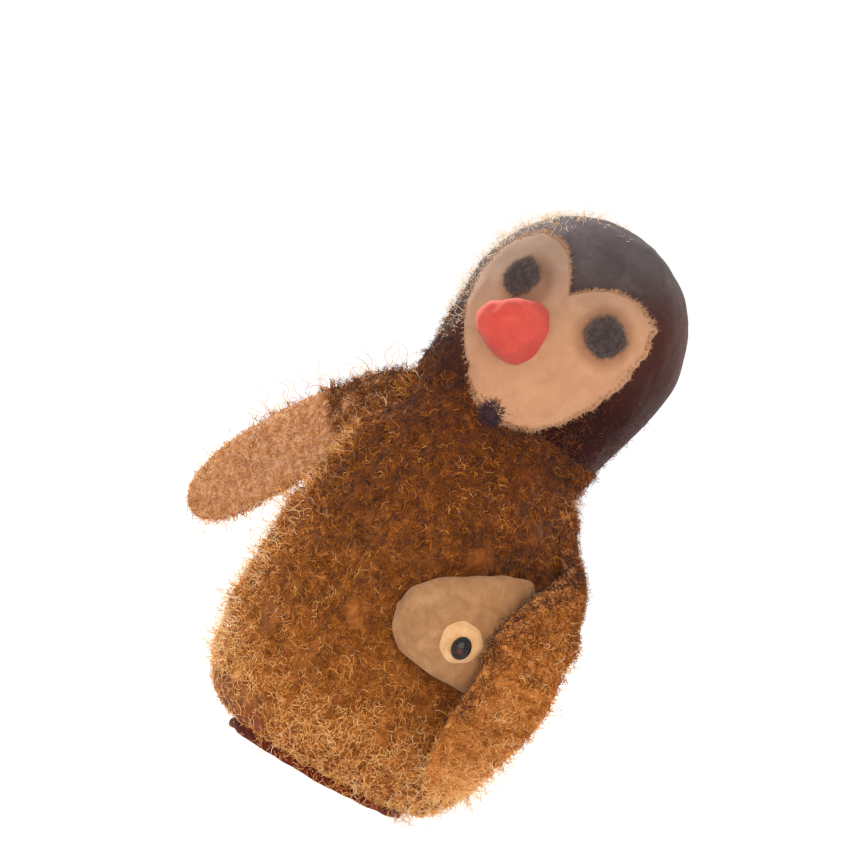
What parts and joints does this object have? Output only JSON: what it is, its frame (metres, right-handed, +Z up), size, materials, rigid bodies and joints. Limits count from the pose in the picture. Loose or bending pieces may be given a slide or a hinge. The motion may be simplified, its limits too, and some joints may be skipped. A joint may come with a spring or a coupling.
{
  "type": "hand puppet",
  "caption": "Felt penguin hand puppet with a round masked head, short beak, hollow furry body open at the hem, and flippers, holding a small stuffed fish under a folded flipper.",
  "frame": {"origin": "middle of the hand opening, on the plane that the hem stands on", "axes": "+Z up the puppet, -Y the way the belly faces, +X the puppet's own left"},
  "size_m": [0.1715, 0.1448, 0.2495],
  "materials": {
    "brown_felt": "long curly wool felt",
    "dark_felt": "smooth matted wool felt",
    "charcoal_felt": "matted wool felt",
    "filling_wool": "loose wool",
    "cream_felt": "smooth wool felt",
    "red_felt": "smooth wool felt",
    "purple_felt": "wool tuft",
    "tan_felt": "short pile felt",
    "grey_felt": "smooth wool felt",
    "white_felt": "smooth wool felt",
    "thread": "twisted sewing thread",
    "bead": "glossy black bead"
  },
  "bodies": {
    "torso": {"hem_band": "dark_felt", "body_felt": "brown_felt"},
    "neck": {"neck_felt": "dark_felt"},
    "tube": {"finger_tube": "charcoal_felt"},
    "head": {"head_hood": "dark_felt", "head_stuffing": "filling_wool", "face_mask": "cream_felt", "eye_right": "charcoal_felt", "eye_left": "charcoal_felt", "beak": "red_felt", "chin_tuft": "purple_felt"},
    "wing_right_root": {"wing_right_stitches": "thread"},
    "wing_right": {"wing_right_outer": "brown_felt", "wing_right_inner": "tan_felt"},
    "wing_left_root": {"wing_left_stitches": "thread"},
    "wing_left": {"wing_left_outer": "brown_felt", "wing_left_inner": "tan_felt", "fish_back": "grey_felt", "fish_belly": "white_felt", "fish_tail": "grey_felt", "fish_eye_disc": "white_felt", "fish_eye_bead": "bead"}
  },
  "joints": [
    {"name": "neck_tilt", "type": "hinge", "parent": "torso", "child": "neck", "pos_m": [-0.002, 0, 0.15], "axis": [0, 1, 0], "range_deg": [-23, 7], "stiffness_Nm_per_rad": 0.9},
    {"name": "head_nod", "type": "hinge", "parent": "neck", "child": "tube", "pos_m": [-0.002, 0, 0.15], "axis": [0.9903, 0, -0.1392], "range_deg": [-12, 12], "stiffness_Nm_per_rad": 0.9},
    {"name": "head_turn", "type": "hinge", "parent": "tube", "child": "head", "pos_m": [-0.002, 0, 0.15], "axis": [0.1392, 0, 0.9903], "range_deg": [-29, 61], "stiffness_Nm_per_rad": 0.3},
    {"name": "wing_right_swing", "type": "hinge", "parent": "torso", "child": "wing_right_root", "pos_m": [-0.05018, 0, 0.12844], "axis": [-0.9167, 0, 0.3995], "range_deg": [-15, 20], "stiffness_Nm_per_rad": 0.3},
    {"name": "wing_right_raise", "type": "hinge", "parent": "wing_right_root", "child": "wing_right", "pos_m": [-0.05705, 0, 0.13144], "axis": [0, 1, 0], "range_deg": [-8, 55], "stiffness_Nm_per_rad": 0.3},
    {"name": "wing_left_swing", "type": "hinge", "parent": "torso", "child": "wing_left_root", "pos_m": [0.05018, 0, 0.12844], "axis": [-0.9167, 0, -0.3995], "range_deg": [0, 30], "stiffness_Nm_per_rad": 0.8},
    {"name": "wing_left_raise", "type": "hinge", "parent": "wing_left_root", "child": "wing_left", "pos_m": [0.05705, 0, 0.13144], "axis": [0, -1, 0], "range_deg": [0, 55], "stiffness_Nm_per_rad": 0.8}
  ]
}
